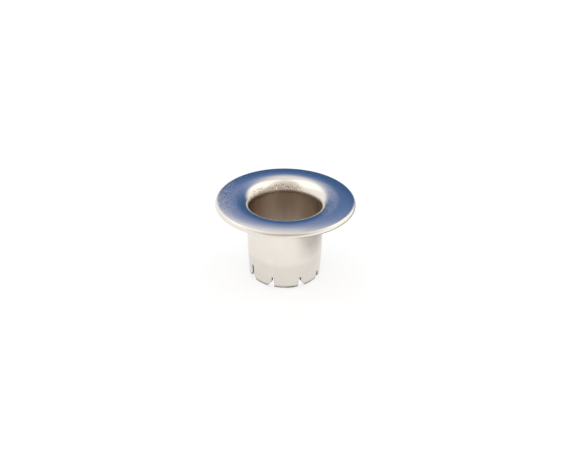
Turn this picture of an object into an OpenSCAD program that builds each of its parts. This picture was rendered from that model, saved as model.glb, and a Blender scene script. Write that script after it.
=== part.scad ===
// Grommet eyelet: one pressed sheet-metal piece, a slightly domed flange with a rolled
// edge, a round throat and a short barrel whose tapered nose is notched into teeth.
// It stands on its teeth, flange up, with the origin on its axis at the tips.

/* [Overall] */
// Diameter over the flange
flange_d = 10; // [8.5:0.5:16]
// Height from the tips of the teeth to the top of the flange
overall_h = 6; // [4.5:0.25:12]
// Thickness of the sheet metal
sheet_t = 0.25; // [0.15:0.01:0.35]

/* [Flange] */
// Radius of the throat, on the face that shows inside the hole
throat_r = 0.9; // [0.6:0.05:1.2]
// Radius of the two shoulders that make the land a shallow dome, on the outer face
shoulder_r = 2.3; // [1.4:0.1:2.6]
// Radius of the rolled edge, on its inner face
edge_bend_r = 0.03; // [0.02:0.01:0.4]

/* [Barrel] */
// Diameter over the barrel
barrel_d = 5.44; // [3.5:0.02:5.8]
// Height of the tapered nose below the straight barrel
nose_h = 2.1; // [1.5:0.05:2.6]
// How far the nose has tapered in at the tips, from the barrel's outer face
nose_in = 0.12; // [0.02:0.01:0.3]

/* [Teeth] */
// Number of teeth round the nose
tooth_n = 8; // [4:1:12]
// Height of a plain notch between two teeth
notch_h = 0.9; // [0.6:0.05:1.1]
// Width of a plain notch at the tips of the teeth
notch_w = 0.7; // [0.4:0.05:0.8]
// Width of the narrow slot at the top of a notch
slot_w = 0.17; // [0.1:0.01:0.24]
// Height at which a notch starts to flare towards the tips
flare_h = 0.48; // [0.2:0.02:0.56]
// Turn of the first notch from the front
crown_turn = -19; // [-45:1:45]
// How uneven the notches are, from even to torn
unevenness = 1; // [0:0.1:1]

/* [Hidden] */

// Colour of the nickel plate
nickel = [0.87, 0.85, 0.81];
// Segments in a full turn of the revolve, in a circle of its section and in a slot's top
turn_segments = 180;
bend_segments = 144;
slot_segments = 24;
// How far a cutter reaches past the face that it opens
overcut = 0.3;
// Slope at the outer end of each shoulder, as its sine and cosine. Both have few decimals,
// so that the bends on either side of the joint meet exactly
slope_sin = 0.28;
slope_cos = 0.96;
// Largest share of the land that the shoulders may take, and the step of their radius then
shoulder_share = 0.9;
shoulder_step = 0.01;

flange_r = flange_d / 2;
barrel_r = barrel_d / 2;
bore_r = barrel_r - sheet_t;
tip_r = barrel_r - nose_in;
edge_r = edge_bend_r + sheet_t;
throat_centre_r = bore_r + throat_r;
edge_centre_r = flange_r - edge_r;

// The shoulders are rounder where the land between the bends is too narrow for them
land_w = edge_centre_r - throat_centre_r;
widest_r = (shoulder_share * land_w / slope_sin + throat_r + edge_r) / 2;
dome_r = min(shoulder_r, shoulder_step * floor(widest_r / shoulder_step));

// Each shoulder runs smoothly into the flat of the land and into its bend, so the bend's
// centre lies on the shoulder's radius at the slope
flat_in_r = throat_centre_r + (dome_r - throat_r) * slope_sin;
flat_out_r = edge_centre_r - (dome_r - edge_r) * slope_sin;
dome_z = overall_h - dome_r;
throat_z = dome_z + (dome_r - throat_r) * slope_cos;
edge_z = dome_z + (dome_r - edge_r) * slope_cos;

// Directions in the section, as unit vectors
OUT = [1, 0];
UP = [0, 1];
INWARD = [-1, 0];
OUTER_SLOPE = [slope_sin, slope_cos];
INNER_SLOPE = [-slope_sin, slope_cos];

// The notches as they run round from the front: the turn off the even place in degrees,
// then the height, and the left and the right half of the mouth, as shares of a plain notch
NOTCHES = [
    [1, 0.95, 1.35, 0.3],
    [-1, 0.9, 0.45, 1.3],
    [-7, 0.65, 0.7, 0.7],
    [-5, 0.95, 1.1, 0.9],
    [-1, 1.05, 0.35, 1.2],
    [3, 0.85, 1.0, 1.0],
    [4, 1.1, 1.25, 0.4],
    [4.5, 1.3, 1.45, 1.05],
];

// A plain notch, which an evenness of zero gives everywhere
PLAIN_NOTCH = [0, 1, 1, 1];

function notch_form(i) =
    PLAIN_NOTCH + unevenness * (NOTCHES[i % len(NOTCHES)] - PLAIN_NOTCH);

// Section of a bent sheet about the origin, with its outer face at outer_r,
// between two directions that are at most a quarter turn apart
module bend(outer_r, first, last) {
    reach = 2 * outer_r;
    intersection() {
        difference() {
            circle(r = outer_r, $fn = bend_segments);
            circle(r = outer_r - sheet_t, $fn = bend_segments);
        }
        polygon([[0, 0], reach * first, reach * last]);
    }
}

// Land of the flange between its two shoulders, with the rolled edge turned down at its rim
module flange_section() {
    translate([flat_in_r, dome_z]) bend(dome_r, UP, INNER_SLOPE);
    translate([flat_in_r, overall_h - sheet_t]) square([flat_out_r - flat_in_r, sheet_t]);
    translate([flat_out_r, dome_z]) bend(dome_r, OUTER_SLOPE, UP);
    translate([edge_centre_r, edge_z]) bend(edge_r, OUT, OUTER_SLOPE);
}

// Round throat that carries the bore's wall out into the flange
module throat_section() {
    translate([throat_centre_r, throat_z]) bend(throat_r, INNER_SLOPE, INWARD);
}

// Straight wall of the barrel, from the nose up to the throat
module barrel_section() {
    translate([bore_r, nose_h]) square([sheet_t, throat_z - nose_h]);
}

// Tapered nose, from the level tips up to the straight wall
module nose_section() {
    polygon([
        [tip_r - sheet_t, 0],
        [tip_r, 0],
        [barrel_r, nose_h],
        [bore_r, nose_h],
    ]);
}

// Outline of one notch, drawn flat with its mouth at the tips of the teeth:
// a narrow slot with a round top that flares below flare_h
module notch_outline(height, left_w, right_w) {
    slot_r = slot_w / 2;
    slot_top = height - slot_r;
    flare_top = min(flare_h, slot_top);
    // Each side flares on past the tips at its own slope
    flare_reach = (flare_top + overcut) / flare_top;
    left_end = slot_r + (max(left_w, slot_r) - slot_r) * flare_reach;
    right_end = slot_r + (max(right_w, slot_r) - slot_r) * flare_reach;
    polygon([
        [-left_end, -overcut],
        [right_end, -overcut],
        [slot_r, flare_top],
        [slot_r, slot_top],
        [-slot_r, slot_top],
        [-slot_r, flare_top],
    ]);
    translate([0, slot_top]) circle(r = slot_r, $fn = slot_segments);
}

// Cutters for all the notches, each through one side of the nose
module crown_cuts() {
    for (i = [0 : tooth_n - 1]) {
        form = notch_form(i);
        rotate([0, 0, crown_turn + i * 360 / tooth_n + form[0]])
            translate([0, overcut + sheet_t - tip_r, 0])
                rotate([90, 0, 0])
                    linear_extrude(height = barrel_r - tip_r + sheet_t + 2 * overcut)
                        notch_outline(notch_h * form[1], notch_w / 2 * form[2], notch_w / 2 * form[3]);
    }
}

module eyelet() {
    color(nickel)
        difference() {
            rotate_extrude($fn = turn_segments) {
                flange_section();
                throat_section();
                barrel_section();
                nose_section();
            }
            crown_cuts();
        }
}

eyelet();
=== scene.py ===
import math
import random

import bmesh
import bpy
from mathutils import Matrix, Vector


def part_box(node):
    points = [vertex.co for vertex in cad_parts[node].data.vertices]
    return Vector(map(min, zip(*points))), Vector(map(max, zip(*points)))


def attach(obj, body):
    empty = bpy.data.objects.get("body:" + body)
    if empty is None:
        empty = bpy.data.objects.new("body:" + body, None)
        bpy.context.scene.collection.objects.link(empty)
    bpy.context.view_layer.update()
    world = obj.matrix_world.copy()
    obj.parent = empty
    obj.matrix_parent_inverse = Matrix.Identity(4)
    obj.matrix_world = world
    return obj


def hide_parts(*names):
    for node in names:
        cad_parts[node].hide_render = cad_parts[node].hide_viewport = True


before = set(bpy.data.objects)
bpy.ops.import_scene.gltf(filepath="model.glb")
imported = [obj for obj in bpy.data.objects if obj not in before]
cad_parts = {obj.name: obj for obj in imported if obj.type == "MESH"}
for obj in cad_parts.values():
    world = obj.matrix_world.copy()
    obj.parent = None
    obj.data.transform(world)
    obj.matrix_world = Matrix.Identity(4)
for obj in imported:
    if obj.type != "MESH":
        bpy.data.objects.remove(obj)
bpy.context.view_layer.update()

# Everything is in metres
MM = 0.001

# Overall sizes, read from the frame so that the finished wall stays inside it
box_low, box_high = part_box("eyelet")
FLANGE_R = min(-box_low[0], -box_low[1], box_high[0], box_high[1])
OVERALL_H = box_high[2] - box_low[2]

# Sheet and flange
SHEET_T = 0.25 * MM
THROAT_R = 0.9 * MM
SHOULDER_R = 2.3 * MM
SHOULDER_SLOPE = math.asin(0.28)
LAND_R = 5.5 * MM
EDGE_R = 0.28 * MM

# Barrel and nose
BARREL_R = 2.72 * MM
NOSE_H = 2.1 * MM
NOSE_IN = 0.12 * MM

# Notches between the teeth
TOOTH_N = 8
NOTCH_H = 0.9 * MM
NOTCH_W = 0.7 * MM
SLOT_W = 0.17 * MM
FLARE_H = 0.48 * MM
CROWN_TURN = math.radians(-19)
# Each notch: the turn off its even place in degrees, then its height, and the left and
# the right half of its mouth, as shares of a plain notch
NOTCHES = [
    (1, 0.95, 1.35, 0.3),
    (-1, 0.9, 0.45, 1.3),
    (-7, 0.65, 0.7, 0.7),
    (-5, 0.95, 1.1, 0.9),
    (-1, 1.05, 0.35, 1.2),
    (3, 0.85, 1.0, 1.0),
    (4, 1.1, 1.25, 0.4),
    (4.5, 1.3, 1.45, 1.05),
]

# Worked out from the sizes above
BORE_R = BARREL_R - SHEET_T
TIP_R = BARREL_R - NOSE_IN
THROAT_CENTRE_R = BORE_R + THROAT_R
THROAT_Z = OVERALL_H - SHOULDER_R + (SHOULDER_R - THROAT_R) * math.cos(SHOULDER_SLOPE)
CREST_R = THROAT_CENTRE_R + (SHOULDER_R - THROAT_R) * math.sin(SHOULDER_SLOPE)
EDGE_CENTRE_R = FLANGE_R - EDGE_R
LAND_SLOPE = math.asin((EDGE_CENTRE_R - CREST_R) / (LAND_R - EDGE_R))
EDGE_Z = OVERALL_H - LAND_R + (LAND_R - EDGE_R) * math.cos(LAND_SLOPE)

# Fineness of the meshes
RING_STEPS = 240
TIP_BREAK = 0.07 * MM
EDGE_BREAK = 0.03 * MM
TORN = 0.012 * MM
WELD = 1e-7

# A painted shadow and a grey mark on the front, in millimetres
UNDER_TIP_SHADOW = {"Across": 0.45, "Height": 0.0, "Half Width": 0.25, "Half Height": 0.08, "Soft": 0.08}
GREY_MARK = {"Across": 1.75, "Height": 3.36, "Half Width": 0.06, "Half Height": 0.02, "Soft": 0.12}

# Camera, fitted to the flange's outline in the photo
PHOTO_W = 570
LOOK_AT = Vector((0, 0, OVERALL_H / 2))
CAMERA_FAR = 60 * MM
CAMERA_ELEVATION = math.radians(31.25)
CAMERA_ROLL = math.radians(0.71)
PIXELS_PER_M = 13.734 / MM
# How far the look-at point lies from the middle of the photo, right and down, in pixels
LOOK_AT_OFFSET = (-0.01, 5.80)
SENSOR_W = 36

FLOOR_R = 1.5


def make_camera():
    camera_data = bpy.data.cameras.new("camera")
    camera = bpy.data.objects.new("camera", camera_data)
    bpy.context.scene.collection.objects.link(camera)
    camera_data.sensor_width = SENSOR_W
    camera_data.lens = PIXELS_PER_M * CAMERA_FAR * SENSOR_W / PHOTO_W
    camera_data.shift_x = -LOOK_AT_OFFSET[0] / PHOTO_W
    camera_data.shift_y = LOOK_AT_OFFSET[1] / PHOTO_W
    camera_data.clip_start = 1 * MM
    camera_data.clip_end = 10
    back = Vector((0, -math.cos(CAMERA_ELEVATION), math.sin(CAMERA_ELEVATION)))
    aim = (-back).to_track_quat("-Z", "Y").to_matrix().to_4x4()
    place = Matrix.Translation(LOOK_AT + CAMERA_FAR * back)
    camera.matrix_world = place @ aim @ Matrix.Rotation(CAMERA_ROLL, 4, "Z")
    bpy.context.scene.camera = camera


# Mesh of the eyelet


def draw_line(bm, vert, to_x, to_z, steps):
    """Extrudes a vertex along a straight line in the section's plane, and returns the last one."""
    step = (Vector((to_x, 0, to_z)) - vert.co) / steps
    for _ in range(steps):
        drawn = bmesh.ops.extrude_vert_indiv(bm, verts=[vert])
        vert = drawn["verts"][0]
        bmesh.ops.translate(bm, verts=[vert], vec=step)
    return vert


def draw_bend(bm, vert, centre_x, centre_z, angle, steps):
    """Spins a vertex about a bend's centre in the section's plane, and returns the last one."""
    drawn = bmesh.ops.spin(
        bm, geom=[vert], cent=(centre_x, 0, centre_z), axis=(0, 1, 0), angle=angle, steps=steps
    )
    return next(item for item in drawn["geom_last"] if isinstance(item, bmesh.types.BMVert))


def draw_section(bm):
    """Draws the sheet's lower and outer face in section, from the teeth's tips to the free rim."""
    quarter = math.pi / 2
    vert = bm.verts.new((TIP_R, 0, 0))
    vert = draw_line(bm, vert, BARREL_R, NOSE_H, 12)
    vert = draw_line(bm, vert, BARREL_R, THROAT_Z, 14)
    vert = draw_bend(bm, vert, THROAT_CENTRE_R, THROAT_Z, quarter - SHOULDER_SLOPE, 24)
    vert = draw_bend(bm, vert, CREST_R, OVERALL_H - SHOULDER_R, SHOULDER_SLOPE, 8)
    vert = draw_bend(bm, vert, CREST_R, OVERALL_H - LAND_R, LAND_SLOPE, 12)
    draw_bend(bm, vert, EDGE_CENTRE_R, EDGE_Z, quarter - LAND_SLOPE, 16)


def face_outwards(bm):
    """Turns the skin so that the nose, its lowest part, faces away from the axis."""
    bmesh.ops.recalc_face_normals(bm, faces=bm.faces)
    nose = min(bm.faces, key=lambda face: face.calc_center_median().z)
    if nose.normal.dot(nose.calc_center_median()) < 0:
        bmesh.ops.reverse_faces(bm, faces=bm.faces)


def round_edges(bm, edges, width, steps):
    bmesh.ops.bevel(
        bm, geom=edges, offset=width, segments=steps, profile=0.5, affect="EDGES", material=-1
    )


def sharp_edges(bm):
    return [edge for edge in bm.edges if edge.calc_face_angle(0) > math.radians(60)]


def pressed_wall():
    """The eyelet before its nose is notched: the section spun round, thickened and edge-broken."""
    bm = bmesh.new()
    draw_section(bm)
    bmesh.ops.spin(
        bm,
        geom=bm.verts[:] + bm.edges[:],
        cent=(0, 0, 0),
        axis=(0, 0, 1),
        angle=2 * math.pi,
        steps=RING_STEPS,
        use_merge=True,
    )
    bmesh.ops.remove_doubles(bm, verts=bm.verts, dist=WELD)
    face_outwards(bm)
    bmesh.ops.solidify(bm, geom=bm.faces[:], thickness=SHEET_T)
    if bm.calc_volume(signed=True) < 0:
        bmesh.ops.reverse_faces(bm, faces=bm.faces)
    # The tips are rounded on the outside, the other edges are only broken
    outside = TIP_R - SHEET_T / 2
    tips = [
        edge
        for edge in sharp_edges(bm)
        if edge.verts[0].co.z < SHEET_T and edge.verts[0].co.xy.length > outside
    ]
    round_edges(bm, tips, TIP_BREAK, 4)
    round_edges(bm, sharp_edges(bm), EDGE_BREAK, 3)
    return bm


def new_object(name, bm):
    mesh = bpy.data.meshes.new(name)
    bm.to_mesh(mesh)
    bm.free()
    piece = bpy.data.objects.new(name, mesh)
    bpy.context.scene.collection.objects.link(piece)
    return piece


def torn_line(start, end, steps, rng):
    """Points from start up to, but not with, end, each a little off the straight line."""
    points = [start]
    for step in range(1, steps):
        share = step / steps
        x = start[0] + (end[0] - start[0]) * share + rng.uniform(-TORN, TORN)
        points.append((x, start[1] + (end[1] - start[1]) * share))
    return points


def notch_outline(height, left_w, right_w, rng):
    """Outline of one notch in its own plane: x along the nose, z up, with slightly torn sides."""
    slot_r = SLOT_W / 2
    slot_top = height - slot_r
    flare_top = min(FLARE_H, slot_top)
    below = 0.3 * MM
    flare_reach = (flare_top + below) / flare_top
    left_end = slot_r + (max(left_w, slot_r) - slot_r) * flare_reach
    right_end = slot_r + (max(right_w, slot_r) - slot_r) * flare_reach
    right_side = torn_line((right_end, -below), (slot_r, flare_top), 9, rng)
    right_side += torn_line((slot_r, flare_top), (slot_r, slot_top), 4, rng)
    left_side = torn_line((-slot_r, slot_top), (-slot_r, flare_top), 4, rng)
    left_side += torn_line((-slot_r, flare_top), (-left_end, -below), 9, rng)
    cap_steps = 6
    cap = [(slot_r, slot_top)]
    for step in range(1, cap_steps):
        angle = math.pi * step / cap_steps
        cap.append((slot_r * math.cos(angle), slot_top + slot_r * math.sin(angle)))
    return right_side + cap + left_side + [(-left_end, -below)]


def notch_cutters():
    """All the notch cutters in one mesh: each outline extruded through one side of the nose."""
    rng = random.Random(8)
    bm = bmesh.new()
    inner = TIP_R - SHEET_T - 0.3 * MM
    outer = BARREL_R + 0.3 * MM
    for index, (shift, height, left, right) in enumerate(NOTCHES):
        half = NOTCH_W / 2
        outline = notch_outline(NOTCH_H * height, half * left, half * right, rng)
        verts = [bm.verts.new((x, -inner, z)) for x, z in outline]
        face = bm.faces.new(verts)
        block = bmesh.ops.extrude_face_region(bm, geom=[face])
        moved = [item for item in block["geom"] if isinstance(item, bmesh.types.BMVert)]
        bmesh.ops.translate(bm, verts=moved, vec=(0, inner - outer, 0))
        turn = CROWN_TURN + index * 2 * math.pi / TOOTH_N + math.radians(shift)
        spin = Matrix.Rotation(turn, 3, "Z")
        bmesh.ops.rotate(bm, verts=verts + moved, cent=(0, 0, 0), matrix=spin)
    bmesh.ops.recalc_face_normals(bm, faces=bm.faces)
    return bm


def apply_modifiers(piece):
    """Gives the piece the mesh that its modifiers make, and removes them."""
    depsgraph = bpy.context.evaluated_depsgraph_get()
    finished = bpy.data.meshes.new_from_object(piece.evaluated_get(depsgraph))
    piece.modifiers.clear()
    piece.data = finished


def make_eyelet():
    eyelet = new_object("eyelet_shell", pressed_wall())
    cutters = new_object("notch_cutters", notch_cutters())
    cut = eyelet.modifiers.new("notches", "BOOLEAN")
    cut.operation = "DIFFERENCE"
    cut.solver = "MANIFOLD"
    cut.object = cutters
    apply_modifiers(eyelet)
    bpy.data.objects.remove(cutters)

    bm = bmesh.new()
    bm.from_mesh(eyelet.data)
    bmesh.ops.remove_doubles(bm, verts=bm.verts, dist=WELD)
    for face in bm.faces:
        face.smooth = True
        centre = face.calc_center_median()
        radial = Vector((centre.x, centre.y, 0)).normalized()
        cut_through = centre.z < NOSE_H and abs(face.normal.dot(radial)) < 0.5
        face.material_index = 1 if cut_through or centre.z < TIP_BREAK else 0
    for edge in bm.edges:
        edge.smooth = edge.calc_face_angle(0) < math.radians(40)
    # Marks where the plated faces meet the torn ones
    near_cut = bm.verts.layers.float.new("near_cut")
    for vert in bm.verts:
        if len({face.material_index for face in vert.link_faces}) > 1:
            vert[near_cut] = 1.0
    bm.to_mesh(eyelet.data)
    bm.free()
    eyelet.data.materials.clear()
    eyelet.data.materials.append(nickel_plate())
    eyelet.data.materials.append(torn_edge())
    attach(eyelet, "root")
    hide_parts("eyelet")


# Node helpers


def add_node(tree, kind, inputs=None, **settings):
    """Adds a node. Each input gets a value, or a link where a socket is given."""
    node = tree.nodes.new(kind)
    for name, value in settings.items():
        setattr(node, name, value)
    for key, value in (inputs or {}).items():
        if isinstance(value, bpy.types.NodeSocket):
            tree.links.new(value, node.inputs[key])
        else:
            node.inputs[key].default_value = value
    return node


def add_math(tree, operation, first, second=0.0, third=0.0):
    node = add_node(tree, "ShaderNodeMath", {0: first, 1: second, 2: third}, operation=operation)
    return node.outputs[0]


def add_mix(tree, factor, first, second):
    """Mixes two colours, and returns the colour."""
    inputs = {"Factor": factor, 6: first, 7: second}
    return add_node(tree, "ShaderNodeMix", inputs, data_type="RGBA").outputs[2]


def add_noise(tree, vector, scale, detail=2.0, rough=0.5):
    inputs = {"Vector": vector, "Scale": scale, "Detail": detail, "Roughness": rough}
    return add_node(tree, "ShaderNodeTexNoise", inputs).outputs["Fac"]


def smooth_step(tree, value, low, high):
    """Zero below low and one above high, with a soft change between them."""
    inputs = {"Value": value, "From Min": low, "From Max": high}
    return add_node(
        tree, "ShaderNodeMapRange", inputs, interpolation_type="SMOOTHSTEP"
    ).outputs["Result"]


def new_group(name, inputs, outputs):
    """A node group with named sockets, each given as its name and its kind."""
    tree = bpy.data.node_groups.new(name, "ShaderNodeTree")
    for socket, kind in inputs:
        tree.interface.new_socket(socket, in_out="INPUT", socket_type="NodeSocket" + kind)
    for socket, kind in outputs:
        tree.interface.new_socket(socket, in_out="OUTPUT", socket_type="NodeSocket" + kind)
    return tree, tree.nodes.new("NodeGroupInput").outputs, tree.nodes.new("NodeGroupOutput").inputs


def use_group(tree, group, inputs):
    node = tree.nodes.new("ShaderNodeGroup")
    node.node_tree = group
    for key, value in inputs.items():
        if isinstance(value, bpy.types.NodeSocket):
            tree.links.new(value, node.inputs[key])
        else:
            node.inputs[key].default_value = value
    return node.outputs


# Shader groups


def ring_place_group():
    """Where a point lies on the eyelet, in millimetres: radius, height, and place across and along."""
    tree, given, result = new_group(
        "ring place",
        [("Position", "Vector")],
        [("Radius", "Float"), ("Height", "Float"), ("Across", "Float"), ("Along", "Float")],
    )
    millimetres = add_node(
        tree, "ShaderNodeVectorMath", {0: given["Position"], "Scale": 1 / MM}, operation="SCALE"
    ).outputs[0]
    split = add_node(tree, "ShaderNodeSeparateXYZ", {0: millimetres}).outputs
    square = add_math(tree, "MULTIPLY", split["Y"], split["Y"])
    square = add_math(tree, "MULTIPLY_ADD", split["X"], split["X"], square)
    tree.links.new(add_math(tree, "SQRT", square), result["Radius"])
    tree.links.new(split["Z"], result["Height"])
    tree.links.new(split["X"], result["Across"])
    tree.links.new(split["Y"], result["Along"])
    return tree


def band_group():
    """A soft mask that is one where a value lies between two limits."""
    tree, given, result = new_group(
        "soft band",
        [("Value", "Float"), ("Low", "Float"), ("High", "Float"), ("Soft", "Float")],
        [("Mask", "Float")],
    )
    low_end = add_math(tree, "SUBTRACT", given["Low"], given["Soft"])
    high_end = add_math(tree, "ADD", given["High"], given["Soft"])
    rise = smooth_step(tree, given["Value"], low_end, given["Low"])
    fall = smooth_step(tree, given["Value"], given["High"], high_end)
    fall = add_math(tree, "SUBTRACT", 1.0, fall)
    tree.links.new(add_math(tree, "MULTIPLY", rise, fall), result["Mask"])
    return tree


def front_patch_group():
    """A soft-edged patch on the front of the eyelet, with its place and half size in millimetres."""
    tree, given, result = new_group(
        "front patch",
        [
            ("Position", "Vector"),
            ("Across", "Float"),
            ("Height", "Float"),
            ("Half Width", "Float"),
            ("Half Height", "Float"),
            ("Soft", "Float"),
        ],
        [("Mask", "Float")],
    )
    place = use_group(tree, GROUPS["ring place"], {"Position": given["Position"]})
    mask = add_math(tree, "LESS_THAN", place["Along"], 0.0)
    for way, half in (("Across", given["Half Width"]), ("Height", given["Half Height"])):
        off = add_math(tree, "ABSOLUTE", add_math(tree, "SUBTRACT", place[way], given[way]))
        outside = smooth_step(tree, off, half, add_math(tree, "ADD", half, given["Soft"]))
        mask = add_math(tree, "MULTIPLY", mask, add_math(tree, "SUBTRACT", 1.0, outside))
    tree.links.new(mask, result["Mask"])
    return tree


def metal_grain_group():
    """Fine uneven marks stretched along one way: a value about one half, and a height."""
    tree, given, result = new_group(
        "metal grain",
        [("Position", "Vector"), ("Stretch", "Vector"), ("Fineness", "Float")],
        [("Grain", "Float"), ("Cloud", "Float")],
    )
    stretched = add_node(
        tree, "ShaderNodeVectorMath", {0: given["Position"], 1: given["Stretch"]}, operation="MULTIPLY"
    ).outputs[0]
    tree.links.new(add_noise(tree, stretched, given["Fineness"], 3.0, 0.6), result["Grain"])
    cloud_scale = add_math(tree, "MULTIPLY", given["Fineness"], 0.12)
    tree.links.new(add_noise(tree, given["Position"], cloud_scale, 3.0, 0.55), result["Cloud"])
    return tree


def speck_group():
    """Small scattered specks: one on a speck and zero between them."""
    tree, given, result = new_group(
        "specks",
        [("Position", "Vector"), ("Fineness", "Float"), ("Amount", "Float")],
        [("Mask", "Float")],
    )
    value = add_noise(tree, given["Position"], given["Fineness"], 1.0, 0.5)
    low = add_math(tree, "SUBTRACT", 1.0, given["Amount"])
    high = add_math(tree, "ADD", low, 0.08)
    tree.links.new(smooth_step(tree, value, low, high), result["Mask"])
    return tree


# Materials


def new_material(name):
    material = bpy.data.materials.new(name)
    material.use_nodes = True
    tree = material.node_tree
    return material, tree, tree.nodes["Principled BSDF"]


def set_inputs(tree, shader, inputs):
    for key, value in inputs.items():
        if isinstance(value, bpy.types.NodeSocket):
            tree.links.new(value, shader.inputs[key])
        else:
            shader.inputs[key].default_value = value


def nickel_plate():
    material, tree, shader = new_material("nickel_plate")
    position = add_node(tree, "ShaderNodeTexCoord").outputs["Object"]
    place = use_group(tree, GROUPS["ring place"], {"Position": position})
    radius, height = place["Radius"], place["Height"]

    drawn = use_group(
        tree,
        GROUPS["metal grain"],
        {"Position": position, "Stretch": (1.0, 1.0, 0.04), "Fineness": 9000.0},
    )
    brushed = use_group(
        tree,
        GROUPS["metal grain"],
        {"Position": position, "Stretch": (1.0, 1.0, 1.0), "Fineness": 14000.0},
    )
    specks = use_group(
        tree, GROUPS["specks"], {"Position": position, "Fineness": 17000.0, "Amount": 0.52}
    )

    # Bright top, from the throat out to the rim
    top = smooth_step(tree, height, 5.25, 5.65)
    # Painted shade inside the barrel, darker and warmer, which frays out in specks up the throat
    frayed = add_math(tree, "MULTIPLY_ADD", brushed["Grain"], -1.6, 0.8)
    frayed = add_math(tree, "ADD", height, frayed)
    # It ends a little lower on the right
    clean_right = smooth_step(tree, place["Across"], 0.4, 1.5)
    frayed = add_math(tree, "MULTIPLY_ADD", clean_right, 0.14, frayed)
    below = add_math(tree, "SUBTRACT", 1.0, smooth_step(tree, frayed, 5.2, 5.68))
    in_bore = add_math(tree, "LESS_THAN", radius, BORE_R / MM + 0.03)
    # The throat's upper face lies further from the bend's centre than its lower face
    bend_x = add_math(tree, "SUBTRACT", radius, THROAT_CENTRE_R / MM)
    bend_z = add_math(tree, "SUBTRACT", height, THROAT_Z / MM)
    square = add_math(tree, "MULTIPLY", bend_z, bend_z)
    bend_radius = add_math(tree, "SQRT", add_math(tree, "MULTIPLY_ADD", bend_x, bend_x, square))
    on_face = add_math(tree, "GREATER_THAN", bend_radius, (THROAT_R - SHEET_T / 2) / MM)
    in_throat = add_math(tree, "LESS_THAN", radius, THROAT_CENTRE_R / MM)
    in_throat = add_math(tree, "MULTIPLY", in_throat, on_face)
    in_throat = add_math(tree, "MULTIPLY", in_throat, add_math(tree, "GREATER_THAN", bend_z, 0.0))
    off_land = add_math(tree, "SUBTRACT", 1.0, smooth_step(tree, height, 5.68, 5.84))
    in_hole = add_math(tree, "MULTIPLY", add_math(tree, "MAXIMUM", in_bore, in_throat), off_land)
    bore_shade_mask = add_math(tree, "MULTIPLY", below, in_hole)

    # Specks lie thinly all over the land, and gather on its left outer and right inner part
    left = smooth_step(tree, place["Across"], -2.6, -4.6)
    land = use_group(
        tree, GROUPS["soft band"], {"Value": radius, "Low": 3.2, "High": 3.5, "Soft": 0.5}
    )["Mask"]
    right = add_math(tree, "MULTIPLY", smooth_step(tree, place["Across"], 1.8, 3.0), land)
    speckled = add_math(tree, "MAXIMUM", left, right)
    speckled = add_math(tree, "MULTIPLY_ADD", speckled, 0.8, 0.2)
    speckled = add_math(tree, "MULTIPLY", speckled, specks["Mask"])
    speckled = add_math(tree, "MULTIPLY", speckled, top)

    silver = (0.845, 0.795, 0.73, 1)
    # The painted shade in the bore is paler at both sides, more so on the right, and deepest at the
    # throat's foot
    paler_left = smooth_step(tree, place["Across"], -1.8, -2.5)
    paler_left = add_math(tree, "MULTIPLY", paler_left, 0.7)
    paler = add_math(tree, "MAXIMUM", paler_left, smooth_step(tree, place["Across"], 1.3, 2.4))
    bore_shade_colour = add_mix(tree, paler, (0.645, 0.535, 0.445, 1), (0.90, 0.82, 0.72, 1))
    colour = add_mix(tree, bore_shade_mask, silver, bore_shade_colour)
    foot_shade = use_group(
        tree, GROUPS["soft band"], {"Value": frayed, "Low": 5.28, "High": 5.46, "Soft": 0.18}
    )["Mask"]
    less_right = smooth_step(tree, place["Across"], 0.3, 1.6)
    foot_shade = add_math(tree, "MULTIPLY", foot_shade, add_math(tree, "MULTIPLY_ADD", less_right, -0.85, 1.0))
    foot_shade = add_math(tree, "MULTIPLY", foot_shade, in_hole)
    colour = add_mix(tree, foot_shade, colour, (0.38, 0.31, 0.25, 1))
    # Random cloudy tone, which the painted shades and the marks below multiply
    cloud_and_shade = add_math(tree, "MULTIPLY_ADD", drawn["Cloud"], 0.10, 0.95)
    # Painted shade: the nose is a little darker than the barrel, and most so at the tips
    above_nose = smooth_step(tree, height, NOSE_H / MM - 0.45, NOSE_H / MM + 0.1)
    nose_shade = add_math(tree, "MULTIPLY_ADD", above_nose, 0.09, 0.91)
    above_tips = smooth_step(tree, height, 0.0, 0.32)
    tip_shade = add_math(tree, "MULTIPLY_ADD", above_tips, 0.4, 0.6)
    cloud_and_shade = add_math(tree, "MULTIPLY", cloud_and_shade, add_math(tree, "MULTIPLY", nose_shade, tip_shade))
    # Painted shade: the plate is darkened along the torn edges
    near_cut = add_node(tree, "ShaderNodeAttribute", attribute_name="near_cut").outputs["Fac"]
    cloud_and_shade = add_math(
        tree, "MULTIPLY", cloud_and_shade, add_math(tree, "MULTIPLY_ADD", near_cut, -0.6, 1.0)
    )
    # A painted shadow darkens one tip at the front, and the barrel has a small grey mark on the right
    under_tip_shadow = use_group(tree, GROUPS["front patch"], {"Position": position, **UNDER_TIP_SHADOW})["Mask"]
    marked = use_group(tree, GROUPS["front patch"], {"Position": position, **GREY_MARK})["Mask"]
    for mask, strength in ((under_tip_shadow, -0.7), (marked, -0.13)):
        cloud_and_shade = add_math(
            tree, "MULTIPLY", cloud_and_shade, add_math(tree, "MULTIPLY_ADD", mask, strength, 1.0)
        )
    # A painted line of shade runs along the front of the rolled edge
    rim_front_shade = use_group(
        tree, GROUPS["soft band"], {"Value": radius, "Low": 4.83, "High": 4.9, "Soft": 0.04}
    )["Mask"]
    at_front = smooth_step(tree, place["Along"], -3.4, -4.6)
    rim_front_shade = add_math(tree, "MULTIPLY", rim_front_shade, at_front)
    cloud_and_shade = add_math(
        tree, "MULTIPLY", cloud_and_shade, add_math(tree, "MULTIPLY_ADD", rim_front_shade, -0.3, 1.0)
    )
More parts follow.
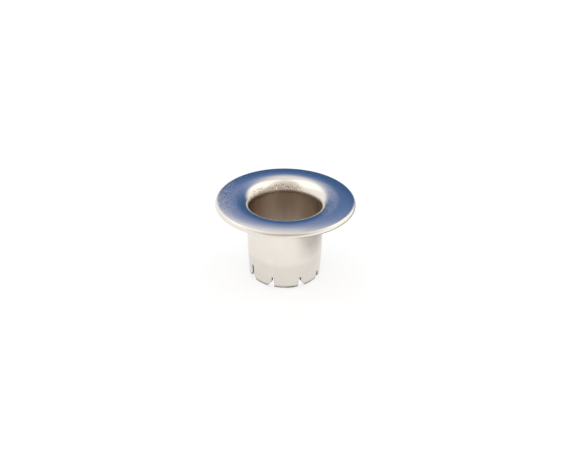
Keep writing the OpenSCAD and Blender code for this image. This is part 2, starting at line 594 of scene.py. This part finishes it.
    # Painted shade: the free rim under the rolled edge is a little darker
    rim = add_math(tree, "GREATER_THAN", radius, 4.8)
    rim = add_math(
        tree, "MULTIPLY", rim, add_math(tree, "SUBTRACT", 1.0, smooth_step(tree, height, 5.64, 5.72))
    )
    cloud_and_shade = add_math(tree, "MULTIPLY", cloud_and_shade, add_math(tree, "MULTIPLY_ADD", rim, -0.16, 1.0))
    tone = add_node(
        tree, "ShaderNodeVectorMath", {0: colour, "Scale": cloud_and_shade}, operation="SCALE"
    ).outputs[0]

    dull = add_math(tree, "MULTIPLY_ADD", drawn["Grain"], 0.05, 0.26)
    bright = add_math(tree, "MULTIPLY_ADD", brushed["Cloud"], 0.08, 0.09)
    rough = add_node(
        tree, "ShaderNodeMix", {"Factor": top, "A": dull, "B": bright}, data_type="FLOAT"
    ).outputs["Result"]
    rough = add_math(tree, "MULTIPLY_ADD", speckled, 0.25, rough)

    grain = add_node(
        tree,
        "ShaderNodeMix",
        {"Factor": top, "A": drawn["Grain"], "B": brushed["Grain"]},
        data_type="FLOAT",
    ).outputs["Result"]
    relief = add_math(tree, "MULTIPLY_ADD", speckled, 0.6, grain)
    bump = add_node(
        tree, "ShaderNodeBump", {"Height": relief, "Strength": 0.05, "Distance": 0.002 * MM}
    ).outputs["Normal"]
    set_inputs(
        tree,
        shader,
        {"Metallic": 1.0, "Base Color": tone, "Roughness": rough, "Normal": bump},
    )
    return material


def torn_edge():
    material, tree, shader = new_material("torn_edge")
    position = add_node(tree, "ShaderNodeTexCoord").outputs["Object"]
    grain = use_group(
        tree,
        GROUPS["metal grain"],
        {"Position": position, "Stretch": (0.5, 0.5, 1.0), "Fineness": 12000.0},
    )
    colour = add_mix(tree, grain["Grain"], (0.12, 0.09, 0.065, 1), (0.46, 0.39, 0.31, 1))
    # Painted shadow on the torn face of one tip at the front
    under_tip_shadow = use_group(tree, GROUPS["front patch"], {"Position": position, **UNDER_TIP_SHADOW})["Mask"]
    colour = add_mix(tree, under_tip_shadow, colour, (0.05, 0.04, 0.035, 1))
    rough = add_math(tree, "MULTIPLY_ADD", grain["Grain"], 0.2, 0.35)
    bump = add_node(
        tree, "ShaderNodeBump", {"Height": grain["Grain"], "Strength": 0.5, "Distance": 0.01 * MM}
    ).outputs["Normal"]
    set_inputs(
        tree,
        shader,
        {"Metallic": 1.0, "Base Color": colour, "Roughness": rough, "Normal": bump},
    )
    return material


# Floor and surroundings


def make_floor():
    bm = bmesh.new()
    bmesh.ops.create_circle(bm, cap_ends=True, segments=96, radius=FLOOR_R)
    floor = new_object("floor", bm)
    material, tree, shader = new_material("floor_paper")
    path = add_node(tree, "ShaderNodeLightPath").outputs
    position = add_node(tree, "ShaderNodeTexCoord").outputs["Object"]
    place = use_group(tree, GROUPS["ring place"], {"Position": position})
    # The floor inside the barrel is lifted less in reflections, which keeps the bore dark
    outside = smooth_step(tree, place["Radius"], TIP_R / MM - 0.4, TIP_R / MM)
    mirrored = add_math(tree, "MULTIPLY_ADD", outside, 0.55, 0.4)
    # It also falls off towards the right, away from the brighter side
    falloff = smooth_step(tree, place["Across"], 4.2, 8.6)
    mirrored = add_math(tree, "MULTIPLY", mirrored, add_math(tree, "MULTIPLY_ADD", falloff, -0.8, 1.0))
    mirrored = add_math(tree, "MULTIPLY", path["Is Glossy Ray"], mirrored)
    # Seen through the notches it is lifted more, so that their mouths stay white
    plain = add_math(tree, "MULTIPLY_ADD", outside, -0.25, 1.25)
    plain = add_math(tree, "MULTIPLY", path["Is Camera Ray"], plain)
    seen = add_math(tree, "MAXIMUM", plain, mirrored)
    lift = add_math(tree, "MULTIPLY", seen, 0.65)
    set_inputs(
        tree,
        shader,
        {
            "Base Color": (0.42, 0.42, 0.42, 1),
            "Roughness": 0.9,
            "Specular IOR Level": 0.0,
            "Emission Color": (1, 1, 1, 1),
            "Emission Strength": lift,
        },
    )
    floor.data.materials.append(material)


def make_surroundings():
    """A studio that is white overhead and at both sides, and blue low down at the back."""
    world = bpy.data.worlds.new("studio")
    bpy.context.scene.world = world
    world.use_nodes = True
    tree = world.node_tree
    direction = add_node(tree, "ShaderNodeTexCoord").outputs["Generated"]
    split = add_node(tree, "ShaderNodeSeparateXYZ", {0: direction}).outputs
    # The blue reaches a little higher and further round on the right
    right = smooth_step(tree, split["X"], 0.0, 0.12)
    rise = add_math(tree, "MULTIPLY_ADD", right, -0.07, split["Z"])
    ramp = add_node(tree, "ShaderNodeValToRGB", {"Fac": rise})
    stops = [
        (0.0, (0.045, 0.11, 0.25, 1)),
        (0.31, (0.053, 0.128, 0.30, 1)),
        (0.44, (0.105, 0.19, 0.43, 1)),
        (0.56, (0.205, 0.285, 0.52, 1)),
        (0.64, (0.426, 0.49, 0.673, 1)),
        (0.71, (0.695, 0.722, 0.818, 1)),
        (0.77, (0.88, 0.86, 0.85, 1)),
    ]
    bar = ramp.color_ramp
    bar.elements[0].position, bar.elements[0].color = stops[0]
    bar.elements[1].position, bar.elements[1].color = stops[-1]
    for position, colour in stops[1:-1]:
        bar.elements.new(position).color = colour

    # Turn from the back, towards either side
    sideways = add_math(tree, "ABSOLUTE", split["X"])
    turn = add_math(tree, "ARCTAN2", sideways, split["Y"])
    high = smooth_step(tree, split["Z"], 0.5, 0.78)
    side = add_math(tree, "MULTIPLY_ADD", right, math.radians(-12), turn)
    side = add_math(tree, "MULTIPLY_ADD", high, math.radians(10), side)
    side = smooth_step(tree, side, math.radians(12), math.radians(38))
    white = add_mix(tree, right, (1.0, 1.01, 1.01, 1), (1.16, 1.15, 1.12, 1))
    white = add_mix(tree, high, white, (1.3, 1.3, 1.29, 1))
    colour = add_mix(tree, side, ramp.outputs["Color"], white)
    # Tan ceiling in front, which pales towards the zenith
    ceiling = add_node(
        tree, "ShaderNodeVectorMath", {0: direction, 1: (0.0, -0.26, 0.966)}, operation="DOT_PRODUCT"
    ).outputs["Value"]
    ceiling = smooth_step(tree, ceiling, 0.90, 0.98)
    colour = add_mix(tree, ceiling, colour, (0.84, 0.80, 0.76, 1))
    front = smooth_step(tree, turn, math.radians(95), math.radians(155))
    above = smooth_step(tree, split["Z"], 0.34, 0.56)
    under = add_math(tree, "SUBTRACT", 1.0, smooth_step(tree, split["Z"], 0.85, 0.98))
    front = add_math(tree, "MULTIPLY", front, add_math(tree, "MULTIPLY", above, under))
    colour = add_mix(tree, front, colour, (0.77, 0.725, 0.68, 1))
    background = tree.nodes["Background"]
    tree.links.new(colour, background.inputs["Color"])
    background.inputs["Strength"].default_value = 1.0


def set_view():
    bpy.context.scene.view_settings.view_transform = "Standard"


GROUPS = {"ring place": ring_place_group()}
GROUPS["soft band"] = band_group()
GROUPS["front patch"] = front_patch_group()
GROUPS["metal grain"] = metal_grain_group()
GROUPS["specks"] = speck_group()

make_camera()
make_floor()
make_surroundings()
make_eyelet()
set_view()
